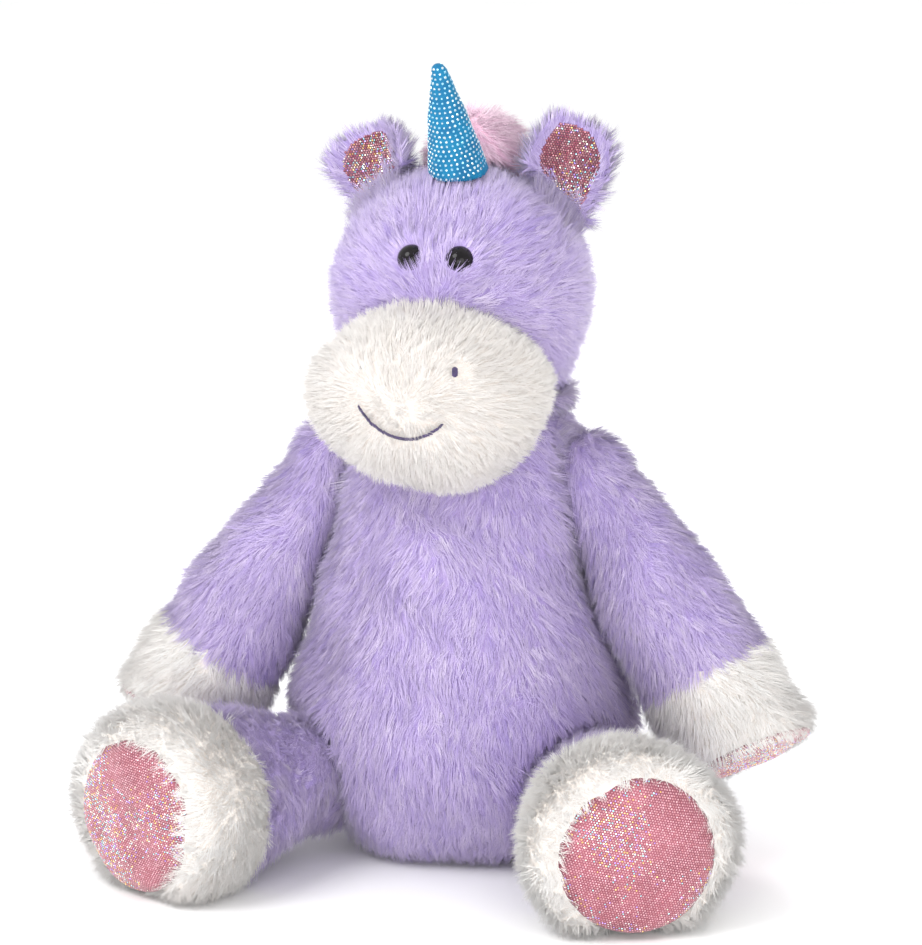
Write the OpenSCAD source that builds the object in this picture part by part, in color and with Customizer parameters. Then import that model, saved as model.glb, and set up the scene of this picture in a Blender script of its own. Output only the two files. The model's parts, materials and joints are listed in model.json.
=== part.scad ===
// Seated plush unicorn: sewn covers over stuffing, with limbs, head, ears and tail that turn at their seams.
// Millimetres, +Z up. The toy sits on z = 0 and faces -Y, and its own left side is +X.

/* [Torso] */
// Radius of the belly at its widest
belly_r = 70; // [66:0.5:72]
// Height of the belly's widest ring above the seat
belly_z = 54; // [52:0.5:58]
// Radius of the chest
chest_r = 59; // [57:0.5:61]
// Height of the chest ring
chest_z = 120; // [116:1:124]
// Radius of the top of the torso, under the head
collar_r = 50; // [48:0.5:51]
// Height of the top ring's centre
collar_z = 158; // [156:0.5:159]
// How far the torso's and head's upright axis lies behind the origin
axis_y = 5; // [4:0.5:6]

/* [Cloth] */
// Thickness of the lilac plush with its pile
plush_t = 5; // [4:0.25:5.5]
// Thickness of the foil cloth
foil_t = 1.6; // [1:0.1:2]
// Gap between a cover and what fills it
fill_gap = 0.3; // [0.2:0.05:0.5]
// Running gap at a limb's root
joint_gap = 0.5; // [0.4:0.05:0.7]

/* [Head] */
// Radius of the head
head_r = 55; // [54:0.5:56]
// Height of the head's centre
head_z = 232; // [231:0.5:233]
// Half of the muzzle's width
muzzle_a = 48; // [45:0.5:49]
// Half of the muzzle's height and depth
muzzle_b = 39; // [37:0.5:40]
// How far the muzzle's centre lies in front of the origin
muzzle_front = 53; // [51:0.5:55]
// Height of the muzzle's centre
muzzle_z = 200.5; // [199:0.5:203]
// Sideways place of each eye
eye_x = 10.8; // [9.5:0.1:13]
// Radius of an eye's dome
eye_r = 4.9; // [4:0.1:5.5]

/* [Horn and mane] */
// Length of the horn
horn_len = 51; // [46:0.5:52]
// Radius of the horn at its root
horn_r = 12.5; // [11:0.25:13]
// How far the mane's roll stands off the head
mane_r = 25; // [21:0.5:26]

/* [Ears] */
// Width of an ear
ear_w = 36; // [32:0.5:37]
// Length of an ear above the head
ear_len = 36; // [33:0.5:39]
// Padded thickness of an ear
ear_t = 8; // [6:0.5:9]

/* [Arms] */
// Length of an arm from shoulder to palm
arm_len = 134; // [128:1:138]
// Radius of the hand
hand_r = 31; // [29:0.5:32]
// Radius of the ball at the shoulder
shoulder_r = 20.5; // [19:0.5:21]
// Where the lilac sleeve ends and the white cuff starts
cuff_at = 92; // [86:1:96]

/* [Legs] */
// Length of a leg from hip to sole
leg_len = 100; // [96:1:102]
// Radius of the foot
foot_r = 43; // [41:0.5:43.5]
// Height of the leg's axis
leg_z = 34; // [33:0.5:36]
// Radius of the ball at the hip
hip_r = 27; // [25:0.5:28]
// How far each leg is splayed from straight ahead
splay = 24; // [20:1:27]
// How much more the toy's right leg is splayed
splay_more = 6; // [0:1:8]
// Where the lilac leg ends and the white foot starts
foot_at = 56; // [52:1:60]

/* [Tail] */
// Length of the tail from its root
tail_len = 34; // [28:1:36]
// Radius of the tail's tuft
tail_r = 12; // [10:0.5:13]

/* [Hidden] */

lilac = [0.72, 0.64, 0.90];
ivory = [0.95, 0.93, 0.89];
foil_pink = [0.80, 0.50, 0.56];
horn_blue = [0.10, 0.52, 0.76];
mane_pink = [0.95, 0.75, 0.85];
thread_purple = [0.27, 0.20, 0.40];
filling = [0.96, 0.96, 0.94];

far = 400;          // longer than anything here, for cutting shapes
arc_fn = 48;        // sides that stand for a full turn in a profile
ball_fn = 64;       // sides of a ball or a turned shape

head_c = [0, axis_y, head_z];
shoulder_c = [54, 2, 160];
arm_dir = [0.52, -0.06, -0.852];
arm_root_r = 18;    // radius of the arm where it leaves the shoulder's ball
arm_mid_at = 50;    // where the arm reaches its fullness
arm_mid_r = 26.5;
arm_room_len = 100; // how far down the arm the torso leaves it room
arm_room_flare = 17.5;                  // how much that room widens on the way
palm_round = 11;    // rounding round the palm
palm_dir = [0.45, -0.30, -0.84];
hip_c = [58, -24, leg_z];
leg_root_r = 24;    // radius of the leg where it leaves the hip's ball
shin_at = 46;       // where the leg has widened to the foot's start
shin_r = 33;
sole_round = 12;    // rounding round the sole
instep_round = 16;  // rounding behind it
instep_back = 22;
leg_room_len = 66;  // how far down the leg the torso leaves it room
leg_room_flare = 12.8;
hip_steps = [-20, -8, 4, 15, 25];      // degrees of lift that the torso leaves room for
cord_r = 2.5;       // the neck seam's ring lies in the corner between head and collar
to_head = head_r + cord_r + joint_gap;
to_collar = collar_r + cord_r + joint_gap;
neck_span = head_z - collar_z;
seam_drop = (neck_span * neck_span + to_head * to_head - to_collar * to_collar) / (2 * neck_span);
seam_z = head_z - seam_drop;
seam_r = sqrt(to_head * to_head - seam_drop * seam_drop);
sole_edge = 12;     // width of the white ring round the sole
pad_off = 0.02;     // how far a foil pad stands off the cloth that it is sewn to
tail_c = [0, 74, 50];
tail_dir = [0, 0.6, -0.8];
tail_steps = [-35, -18, 0, 18, 35];    // degrees of wag that the torso leaves room for
tail_root_r = 7;
bag_r = 13;         // radius of the seat pouch's rolled edge
bag_half_w = 16;    // how far the rolled edge's centre lies from the pouch's middle
bag_c = [0, 12, plush_t + fill_gap + bag_r];
head_seam_y = 17;
stitch_len = 6;     // one stitch of the seam that closes the back
stitch_r = 0.5;
washer_at = head_r - 12;    // distance of the eyes' lock washers from the head's centre
eye_sunk = 2.5;     // how deep in the plush the centre of an eye's dome lies
washer_r = 5;
washer_t = 1.4;
shank_r = 1.6;
mane_from = -12;    // degrees above level behind the head where the mane starts
mane_to = 87;       // degrees above level where it ends, behind the horn
mane_half_w = 20;
horn_c = [1.5, -9, 281];
horn_dir = [-0.09, -0.344, 0.934];
horn_tip_r = 3;
horn_t = 1.2;
muzzle_c = [0, -muzzle_front, muzzle_z];
white_t = 4;                            // thickness of the white plush with its pile
ear_c = [39.5, 17, 269.5];              // middle of the ear's sewn edge
ear_turn = 15;                          // how far an ear faces outward
ear_slope = 47;                         // how steeply the sewn edge runs down the head
ear_root_r = 3;
ear_root_half = 12;     // half the length of the sewn edge
nostril_x = 19;
nostril_rise = 14;  // height of the nostrils above the muzzle's centre
thread_r = 0.9;     // radius of the smile's cord of stitches
smile_r = 21;
smile_z = 209;      // height of the centre of the smile's arc
smile_drop = muzzle_z - smile_z + smile_r;      // its lowest stitch's depth below the muzzle's centre
smile_off = 0.2;    // clear space between the stitches and the muzzle's surface
smile_y = -muzzle_front - sqrt(muzzle_b * muzzle_b - smile_drop * smile_drop) - thread_r - smile_off;
smile_c = [0, smile_y, smile_z];
eye_dir = [eye_x, -55, 22.5] / norm([eye_x, -55, 22.5]);

// Turns +Z to point along a direction.
module aim(d) {
    rotate([0, acos(d.z / norm(d)), atan2(d.y, d.x)]) children();
}

// The part of a flat profile on the axis's right side, ready to be turned.
module right_half() {
    intersection() {
        children();
        translate([0, -far / 2]) square([far, far]);
    }
}

// Half-space blocks that split a cover at its seams.
module front_of(y) { translate([-far, y - far, -far]) cube([2 * far, far, 3 * far]); }
module behind(y) { translate([-far, y, -far]) cube([2 * far, far, 3 * far]); }
module left_of_middle() { translate([0, -far, -far]) cube([far, 2 * far, 3 * far]); }
module right_of_middle() { translate([-far, -far, -far]) cube([far, 2 * far, 3 * far]); }

// ---- torso ----

// The torso's turned outline, its surface moved inward by t.
module torso_form(t) {
    translate([0, axis_y, 0])
        rotate_extrude($fn = ball_fn) right_half()
            intersection() {
                hull() {
                    translate([0, belly_z]) circle(belly_r - t, $fn = arc_fn);
                    translate([0, chest_z]) circle(chest_r - t, $fn = arc_fn);
                    translate([0, collar_z]) circle(collar_r - t, $fn = arc_fn);
                }
                translate([-far / 2, max(t, 0)]) square([far, far]);
            }
}

// Room for the left arm's ball and the widening arm below it, grown by t.
module arm_room(t) {
    translate(shoulder_c) sphere(shoulder_r + t, $fn = ball_fn);
    translate(shoulder_c) aim(arm_dir)
        cylinder(h = arm_room_len, r1 = arm_root_r + fill_gap + t,
                 r2 = arm_root_r + fill_gap + arm_room_flare + t, $fn = ball_fn);
}

// How far a leg is turned from the +X axis: side 0 is the toy's left, and 1 its right before it is mirrored.
function leg_turn(side) = splay + side * splay_more - 90;

// What the head, arms, legs and tail need kept clear, grown by t.
module torso_hollows(t) {
    translate(head_c) sphere(head_r + t, $fn = ball_fn);
    for (side = [0, 1]) mirror([side, 0, 0]) {
        arm_room(t);
        translate(hip_c) sphere(hip_r + t, $fn = ball_fn);
        for (lift = hip_steps)
            translate(hip_c) rotate([0, 0, leg_turn(side)]) rotate([0, 90 - lift, 0])
                cylinder(h = leg_room_len, r1 = leg_root_r + 2 * fill_gap + t,
                         r2 = leg_root_r + 2 * fill_gap + leg_room_flare + t, $fn = ball_fn);
    }
    translate(tail_c) sphere(tail_root_r + t, $fn = ball_fn);
    for (wag = tail_steps)
        translate(tail_c) rotate([0, 0, wag]) aim(tail_dir)
            cylinder(h = 24, r1 = tail_root_r - 1 + t, r2 = tail_r + t, $fn = ball_fn);
}

module torso_shell() {
    difference() {
        torso_form(0);
        torso_form(plush_t);
        torso_hollows(joint_gap);
    }
}

module torso_front_panel() {
    color(lilac) intersection() {
        torso_shell();
        front_of(axis_y);
    }
}

module torso_back_left_panel() {
    color(lilac) intersection() {
        torso_shell();
        behind(axis_y);
        left_of_middle();
    }
}

module torso_back_right_panel() {
    color(lilac) intersection() {
        torso_shell();
        behind(axis_y);
        right_of_middle();
    }
}

// The flattened pouch of pellets that weights the seat, grown by t.
module bean_bag_form(t) {
    translate(bag_c)
        rotate_extrude($fn = ball_fn) right_half()
            hull() for (side = [-1, 1])
                translate([side * bag_half_w, 0]) circle(bag_r + t, $fn = arc_fn);
}

// The stuffing stands back from each limb's root inside the cover.
module torso_stuffing() {
    root_room = 3;
    leg_flare = 18;
    leg_reach = 60;
    color(filling) difference() {
        torso_form(plush_t + fill_gap);
        translate(head_c) sphere(head_r + root_room, $fn = ball_fn);
        for (side = [0, 1]) mirror([side, 0, 0]) {
            arm_room(root_room);
            on_leg(side) rotate_extrude($fn = ball_fn) polygon([
                for (a = [-90:10:0]) (hip_r + root_room) * [cos(a), sin(a)],
                [hip_r + leg_flare, leg_reach], [0, leg_reach]]);
        }
        translate(tail_c) sphere(tail_root_r + root_room, $fn = ball_fn);
        bean_bag_form(fill_gap);
        translate([bag_c.x, bag_c.y, 0])
            cylinder(h = bag_c.z, r = bag_half_w + bag_r + fill_gap, $fn = ball_fn);
    }
}

module seat_bean_bag() {
    color("tan") bean_bag_form(0);
}

// Radius of the back at a height between the belly and the chest.
function back_r(z) = let (slope = asin((belly_r - chest_r) / (chest_z - belly_z)))
    (belly_r - (z - belly_z) * sin(slope)) / cos(slope);

module back_closing_seam() {
    color(thread_purple)
        for (z = [76:6:124])
            translate([-stitch_len / 2, axis_y + back_r(z) + 0.7, z])
                rotate([0, 90, 0]) cylinder(h = stitch_len, r = stitch_r, $fn = 24);
}

// The ring of ladder stitches that the head turns and nods on.
module neck_seam() {
    color(thread_purple) translate([0, axis_y, seam_z])
        rotate_extrude($fn = ball_fn) translate([seam_r, 0]) circle(cord_r, $fn = 32);
}

// ---- head ----

// Room for the ears' sewn edges, grown by t.
module ear_roots(t) {
    for (side = [0, 1]) mirror([side, 0, 0])
        on_ear() translate([-ear_root_half - t, 0, 0]) rotate([0, 90, 0])
            cylinder(h = 2 * (ear_root_half + t), r = ear_root_r + t, $fn = 48);
}

module eye_holes(r) {
    for (side = [0, 1]) mirror([side, 0, 0])
        translate(head_c) aim(eye_dir) cylinder(h = head_r + 10, r = r, $fn = 48);
}

// The head's ball, turned from a ring of short straight steps, its surface moved inward by t.
module head_form(t) {
    translate(head_c) rotate_extrude($fn = ball_fn)
        polygon([for (a = [-90:5:90]) (head_r - t) * [cos(a), sin(a)]]);
}

module head_shell() {
    difference() {
        head_form(0);
        head_form(plush_t);
    }
}

module head_face_panel() {
    color(lilac) difference() {
        intersection() {
            head_shell();
            front_of(head_seam_y);
        }
        eye_holes(eye_r + 0.3);
        ear_roots(joint_gap);
    }
}

module head_back_left_panel() {
    color(lilac) difference() {
        intersection() {
            head_shell();
            behind(head_seam_y);
            left_of_middle();
        }
        ear_roots(joint_gap);
    }
}

module head_back_right_panel() {
    color(lilac) difference() {
        intersection() {
            head_shell();
            behind(head_seam_y);
            right_of_middle();
        }
        ear_roots(joint_gap);
    }
}

module head_stuffing() {
    color(filling) difference() {
        head_form(plush_t + fill_gap);
        for (side = [0, 1]) mirror([side, 0, 0]) translate(head_c) aim(eye_dir) {
            translate([0, 0, washer_at - 3]) cylinder(h = 20, r = shank_r + fill_gap, $fn = 48);
            translate([0, 0, washer_at - fill_gap])
                cylinder(h = washer_t + 2 * fill_gap, r = washer_r + fill_gap, $fn = 48);
        }
    }
}

// One safety eye: a glossy dome with a flat back on its shank.
module eye() {
    translate(head_c) aim(eye_dir) {
        intersection() {
            translate([0, 0, head_r - eye_sunk]) sphere(eye_r, $fn = 48);
            translate([0, 0, head_r - eye_sunk - 1]) cylinder(h = 12, r = eye_r, $fn = 48);
        }
        translate([0, 0, washer_at - 2]) cylinder(h = 11, r = shank_r, $fn = 48);
    }
}

module eye_left() { color("black") eye(); }
module eye_right() { color("black") mirror([1, 0, 0]) eye(); }

module eye_washer() {
    translate(head_c) aim(eye_dir) translate([0, 0, washer_at]) difference() {
        cylinder(h = washer_t, r = washer_r, $fn = 48);
        translate([0, 0, -1]) cylinder(h = 4, r = shank_r + 0.05, $fn = 48);
    }
}

module eye_washer_left() { color("white") eye_washer(); }
module eye_washer_right() { color("white") mirror([1, 0, 0]) eye_washer(); }

// The muzzle turned about its sideways axis, t inside its surface, cut back to the head and chest.
module muzzle_form(t) {
    difference() {
        translate(muzzle_c) rotate([0, 90, 0])
            rotate_extrude($fn = ball_fn)
                polygon([for (a = [-90:7.5:90]) [(muzzle_b - t) * cos(a), (muzzle_a - t) * sin(a)]]);
        translate(head_c) sphere(head_r + 0.1 + t, $fn = ball_fn);
        torso_form(-1 - t);
        translate([0, axis_y, 0])
            cylinder(h = seam_z + cord_r + 1 + t, r = seam_r + cord_r + 1 + t, $fn = ball_fn);
    }
}

module muzzle_cover() {
    color(ivory) difference() {
        muzzle_form(0);
        muzzle_form(white_t);
    }
}

module muzzle_stuffing() {
    color(filling) muzzle_form(white_t + fill_gap);
}

// One embroidered nostril, standing just off the muzzle.
module nostril_patch() {
    depth = muzzle_b * sqrt(1 - pow(nostril_x / muzzle_a, 2) - pow(nostril_rise / muzzle_b, 2));
    outward = [nostril_x / pow(muzzle_a, 2), -depth / pow(muzzle_b, 2), nostril_rise / pow(muzzle_b, 2)];
    translate(muzzle_c + [nostril_x, -depth, nostril_rise]) aim(outward)
        translate([0, 0, 0.05]) linear_extrude(0.9)
            hull() for (end = [-1, 1]) translate([end * 1.6, 0]) circle(1.5, $fn = 24);
}

module nostril_left() { color(thread_purple) nostril_patch(); }
module nostril_right() { color(thread_purple) mirror([1, 0, 0]) nostril_patch(); }

module smile() {
    color(thread_purple) translate(smile_c) rotate([90, 0, 0]) rotate([0, 0, 205])
        rotate_extrude(angle = 130, $fn = ball_fn) translate([smile_r, 0]) circle(thread_r, $fn = 24);
}

// The horn's cone, its surface moved inward by t, cut back to the head.
module horn_form(t) {
    difference() {
        translate(horn_c) aim(horn_dir)
            rotate_extrude($fn = ball_fn) right_half()
                hull() {
                    translate([-horn_r + t, -6]) square([2 * (horn_r - t), 8]);
                    translate([0, horn_len * 0.5]) circle(horn_r * 0.66 - t, $fn = arc_fn);
                    translate([0, horn_len - horn_tip_r]) circle(horn_tip_r - t, $fn = arc_fn);
                }
        translate(head_c) sphere(head_r + 0.1 + t, $fn = ball_fn);
    }
}

module horn_cover() {
    color(horn_blue) difference() {
        horn_form(0);
        horn_form(horn_t);
    }
}

module horn_stuffing() {
    color(filling) horn_form(horn_t + fill_gap);
}

// How full the mane's roll is at an angle: 1 along its middle, less towards its two ends.
function mane_fill(a) = let (u = abs(2 * (a - mane_from) / (mane_to - mane_from) - 1))
    max(0.12, sqrt(1 - pow(u, 5)));

// One cross-section of the mane: the outer bulge, then back along the head's own surface.
function mane_ring(a) = let (w = mane_half_w * mane_fill(a), h = mane_r * mane_fill(a))
    [for (x_h = concat(
            [for (t = [0:18:180]) [w * cos(t), h * sin(t)]],
            [for (t = [1:4]) [w * (t / 2.5 - 1), 0]]))
        let (rho = sqrt(pow(head_r + 0.3, 2) - pow(x_h.x, 2)) + x_h.y)
            head_c + [x_h.x, rho * cos(a), rho * sin(a)]];

module mane() {
    rings = [for (i = [0:24]) mane_ring(mane_from + i * (mane_to - mane_from) / 24)];
    n = len(rings[0]);
    sides = [for (i = [0:23], j = [0:n - 1]) each [
        [i * n + j, i * n + (j + 1) % n, (i + 1) * n + (j + 1) % n],
        [i * n + j, (i + 1) * n + (j + 1) % n, (i + 1) * n + j]]];
    start_cap = [for (j = [1:n - 2]) [0, j + 1, j]];
    end_cap = [for (j = [1:n - 2]) [24 * n, 24 * n + j, 24 * n + j + 1]];
    color(mane_pink) polyhedron([for (r = rings) each r], concat(sides, start_cap, end_cap));
}

// ---- ears ----

// Puts a shape on the left ear's sewn edge: X along the edge, -Y to the front, Z out of the head.
module on_ear() {
    translate(ear_c) rotate([0, 0, ear_turn]) rotate([0, ear_slope, 0]) children();
}

// The ear's leaf outline, standing up from the sewn edge, made smaller all round by t.
module ear_outline(t) {
    rotate([0, 0, ear_slope]) hull() {
        translate([0, 3]) circle(13 - t, $fn = 32);
        translate([2, ear_len * 0.48]) circle(ear_w / 2 - t, $fn = 40);
        translate([-1, ear_len - 7]) circle(8 - t, $fn = 32);
    }
}

module ear_leaf(t, thick, front) {
    on_ear() translate([0, front, 0]) rotate([90, 0, 0]) linear_extrude(thick) ear_outline(t);
}

module ear_back() {
    difference() {
        ear_leaf(0, ear_t, ear_t / 2);
        translate(head_c) sphere(head_r + 3.4, $fn = ball_fn);
    }
    on_ear() {
        translate([-ear_root_half, 0, 0]) rotate([0, 90, 0])
            cylinder(h = 2 * ear_root_half, r = ear_root_r, $fn = 48);
        translate([-9, -1.2, 0]) cube([18, 2.4, 8]);
    }
}

module ear_back_left() { color(lilac) ear_back(); }
module ear_back_right() { color(lilac) mirror([1, 0, 0]) ear_back(); }

module ear_lining() {
    difference() {
        ear_leaf(4, foil_t, -ear_t / 2 - pad_off);
        translate(head_c) sphere(head_r + 5, $fn = ball_fn);
    }
}

module ear_lining_left() { color(foil_pink) ear_lining(); }
module ear_lining_right() { color(foil_pink) mirror([1, 0, 0]) ear_lining(); }

// ---- arms ----

// The arm's turned outline between two distances from the shoulder, its surface moved inward by t.
module arm_form(t, from, to) {
    translate(shoulder_c) aim(arm_dir) rotate_extrude($fn = ball_fn) right_half()
        intersection() {
            union() {
                circle(shoulder_r - t, $fn = arc_fn);
                hull() {
                    circle(arm_root_r - t, $fn = arc_fn);
                    translate([0, arm_mid_at]) circle(arm_mid_r - t, $fn = arc_fn);
                    for (edge = [-1, 1])
                        translate([edge * (hand_r - palm_round), arm_len - 4])
                            circle(palm_round - t, $fn = arc_fn);
                }
            }
            translate([-far / 2, from]) square([far, to - from]);
        }
}

// The block in front of the palm's slanted plane, t inside it.
module past_palm(t) {
    translate(shoulder_c + arm_len * arm_dir) aim(palm_dir)
        translate([-60, -60, -t]) cube([120, 120, 60]);
}

module arm_sleeve() {
    difference() {
        arm_form(0, -far / 4, cuff_at);
        arm_form(plush_t, -far / 4, cuff_at + 1);
    }
}

module arm_sleeve_left() { color(lilac) arm_sleeve(); }
module arm_sleeve_right() { color(lilac) mirror([1, 0, 0]) arm_sleeve(); }

module arm_cuff() {
    difference() {
        arm_form(0, cuff_at, far / 2);
        arm_form(white_t, cuff_at - 1, far / 2);
        past_palm(0);
    }
}

module arm_cuff_left() { color(ivory) arm_cuff(); }
module arm_cuff_right() { color(ivory) mirror([1, 0, 0]) arm_cuff(); }

module palm_pad() {
    translate(shoulder_c + arm_len * arm_dir) aim(palm_dir)
        translate([0, 0, pad_off]) cylinder(h = foil_t, r = hand_r - 4, $fn = ball_fn);
}

module palm_pad_left() { color(foil_pink) palm_pad(); }
module palm_pad_right() { color(foil_pink) mirror([1, 0, 0]) palm_pad(); }

module arm_stuffing() {
    difference() {
        arm_form(plush_t + fill_gap, -far / 4, far / 2);
        past_palm(0);
    }
}

module arm_stuffing_left() { color(filling) arm_stuffing(); }
module arm_stuffing_right() { color(filling) mirror([1, 0, 0]) arm_stuffing(); }

// ---- legs ----

// Puts a shape on a leg, before any mirroring: Z runs from the hip to the sole.
module on_leg(side) {
    translate(hip_c) rotate([0, 0, leg_turn(side)]) rotate([0, 90, 0]) children();
}

// The leg's turned outline between two distances from the hip, t inside its surface, flat where it rests.
module leg_form(side, t, from, to) {
    intersection() {
        on_leg(side) rotate_extrude($fn = ball_fn) right_half()
            intersection() {
                union() {
                    circle(hip_r - t, $fn = arc_fn);
                    hull() {
                        circle(leg_root_r - t, $fn = arc_fn);
                        translate([0, shin_at]) circle(shin_r - t, $fn = arc_fn);
                    }
                    hull() {
                        translate([0, shin_at - 2]) circle(shin_r - t, $fn = arc_fn);
                        for (edge = [-1, 1]) {
                            translate([edge * (foot_r - sole_round), leg_len - sole_round])
                                circle(sole_round - t, $fn = arc_fn);
                            translate([edge * (foot_r - instep_round), leg_len - instep_back])
                                circle(instep_round - t, $fn = arc_fn);
                        }
                    }
                }
                translate([-far / 2, from]) square([far, to - from]);
            }
        translate([-far, -far, t]) cube([2 * far, 2 * far, far]);
    }
}

module leg_sleeve(side) {
    difference() {
        leg_form(side, 0, -far / 4, foot_at);
        leg_form(side, plush_t, -far / 4, foot_at + 1);
    }
}

module leg_sleeve_left() { color(lilac) leg_sleeve(0); }
module leg_sleeve_right() { color(lilac) mirror([1, 0, 0]) leg_sleeve(1); }

module foot_cover(side) {
    difference() {
        leg_form(side, 0, foot_at, far / 2);
        leg_form(side, white_t, foot_at - 1, far / 2);
    }
}

module foot_cover_left() { color(ivory) foot_cover(0); }
module foot_cover_right() { color(ivory) mirror([1, 0, 0]) foot_cover(1); }

module sole_pad(side) {
    on_leg(side) translate([0, 0, leg_len + pad_off])
        cylinder(h = foil_t, r = foot_r - sole_edge, $fn = ball_fn);
}

module sole_pad_left() { color(foil_pink) sole_pad(0); }
module sole_pad_right() { color(foil_pink) mirror([1, 0, 0]) sole_pad(1); }

module leg_stuffing(side) {
    leg_form(side, plush_t + fill_gap, -far / 4, far / 2);
}

module leg_stuffing_left() { color(filling) leg_stuffing(0); }
module leg_stuffing_right() { color(filling) mirror([1, 0, 0]) leg_stuffing(1); }

// ---- tail ----

module tail() {
    color(mane_pink) translate(tail_c) aim(tail_dir) rotate_extrude($fn = ball_fn) right_half() {
        circle(tail_root_r, $fn = arc_fn);
        hull() {
            circle(tail_root_r - 1, $fn = arc_fn);
            translate([0, tail_len - tail_r]) circle(tail_r, $fn = arc_fn);
        }
    }
}

torso_front_panel();
torso_back_left_panel();
torso_back_right_panel();
torso_stuffing();
seat_bean_bag();
back_closing_seam();
neck_seam();
head_face_panel();
head_back_left_panel();
head_back_right_panel();
head_stuffing();
muzzle_cover();
muzzle_stuffing();
nostril_left();
nostril_right();
smile();
eye_left();
eye_right();
eye_washer_left();
eye_washer_right();
horn_cover();
horn_stuffing();
mane();
ear_back_left();
ear_back_right();
ear_lining_left();
ear_lining_right();
arm_sleeve_left();
arm_sleeve_right();
arm_cuff_left();
arm_cuff_right();
palm_pad_left();
palm_pad_right();
arm_stuffing_left();
arm_stuffing_right();
leg_sleeve_left();
leg_sleeve_right();
foot_cover_left();
foot_cover_right();
sole_pad_left();
sole_pad_right();
leg_stuffing_left();
leg_stuffing_right();
tail();
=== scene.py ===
"""Seated plush unicorn: fur, foil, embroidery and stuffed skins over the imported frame.

Places are in metres, +Z is up and the toy faces -Y. A value in millimetres is named so in its function.
"""
import json
import math

import bpy
import numpy as np
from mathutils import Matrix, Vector
from mathutils.bvhtree import BVHTree
from mathutils.kdtree import KDTree


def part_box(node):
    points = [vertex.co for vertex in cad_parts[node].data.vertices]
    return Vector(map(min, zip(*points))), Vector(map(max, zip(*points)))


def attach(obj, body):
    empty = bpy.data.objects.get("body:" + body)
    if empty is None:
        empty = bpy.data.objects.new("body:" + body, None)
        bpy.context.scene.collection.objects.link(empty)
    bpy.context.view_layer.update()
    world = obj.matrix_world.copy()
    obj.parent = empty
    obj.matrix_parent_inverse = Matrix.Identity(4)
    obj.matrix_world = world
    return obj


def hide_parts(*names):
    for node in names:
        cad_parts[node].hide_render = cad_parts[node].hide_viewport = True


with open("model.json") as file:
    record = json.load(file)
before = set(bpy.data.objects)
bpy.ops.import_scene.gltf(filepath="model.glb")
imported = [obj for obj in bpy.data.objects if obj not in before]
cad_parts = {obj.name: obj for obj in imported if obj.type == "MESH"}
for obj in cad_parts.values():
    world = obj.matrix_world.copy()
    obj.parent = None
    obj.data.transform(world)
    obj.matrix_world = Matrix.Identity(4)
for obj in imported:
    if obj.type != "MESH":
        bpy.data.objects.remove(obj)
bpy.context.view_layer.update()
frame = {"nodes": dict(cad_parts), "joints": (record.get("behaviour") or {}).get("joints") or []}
MM = 0.001
UP = np.array([0.0, 0.0, 1.0])
SIDES = ("left", "right")

# ---------------------------------------------------------------- places taken from the frame


def points(*nodes):
    """The vertices of the named CAD nodes, as one array."""
    parts = [np.array([v.co for v in frame["nodes"][n].data.vertices]) for n in nodes]
    return np.concatenate(parts)


def middle(*nodes):
    """The centre of the box round the named CAD nodes."""
    co = points(*nodes)
    return (co.min(0) + co.max(0)) / 2


def unit(v):
    """Vectors scaled to length 1, for one vector or an array of them."""
    v = np.asarray(v, float)
    return v / np.maximum(np.linalg.norm(v, axis=-1, keepdims=True), 1e-12)


def clamp(x):
    """Values held between 0 and 1."""
    return np.clip(x, 0, 1)


def bell(gap, width):
    """1 where gap is 0, fading to almost nothing at twice the width."""
    return np.exp(-(gap / width) ** 2)


def distance(co, place):
    """How far each point is from a place."""
    return np.linalg.norm(co - place, axis=1)


def flattened(co, axis):
    """Vectors without their part along an axis."""
    return co - axis * (co @ axis)[:, None]


def joint_at(name):
    """Where the named joint turns."""
    return np.array([j["pos_m"] for j in frame["joints"] if j["name"] == name][0])


def long_axis(node):
    """The centre and the long direction of a CAD node, pointing up."""
    co = points(node)
    centre = co.mean(0)
    axis = np.linalg.svd(co - centre, full_matrices=False)[2][0]
    return centre, axis * (1 if axis[2] > 0 else -1)


HEAD = middle("head_stuffing")
HEAD_R = (points("head_stuffing")[:, 2].max() - points("head_stuffing")[:, 2].min()) / 2
MUZZLE = middle("muzzle_stuffing") * np.array([0, 1, 1])
PANEL_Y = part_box("torso_front_panel")[1].y
HEAD_PANEL_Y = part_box("head_face_panel")[1].y
EYES = {s: middle("eye_" + s) for s in SIDES}


def off_head(co, start, over):
    """0 up to start millimetres outside the head, then rising to 1 over the next few millimetres."""
    return clamp((distance(co, HEAD) - HEAD_R - start * MM) / (over * MM))


# ---------------------------------------------------------------- materials


def principled(name, **values):
    """A material whose Principled shader holds the given plain values."""
    made = bpy.data.materials.new(name)
    made.use_nodes = True
    shader = made.node_tree.nodes["Principled BSDF"]
    for key, value in values.items():
        socket = shader.inputs[key.replace("_", " ")]
        socket.default_value = (*value, 1) if isinstance(value, tuple) and len(value) == 3 else value
    return made


def node_of(made, kind, **settings):
    """A new node of the given kind in a material's tree."""
    new = made.node_tree.nodes.new(kind)
    for key, value in settings.items():
        if key in new.inputs:
            new.inputs[key].default_value = value
        else:
            setattr(new, key, value)
    return new


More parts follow.
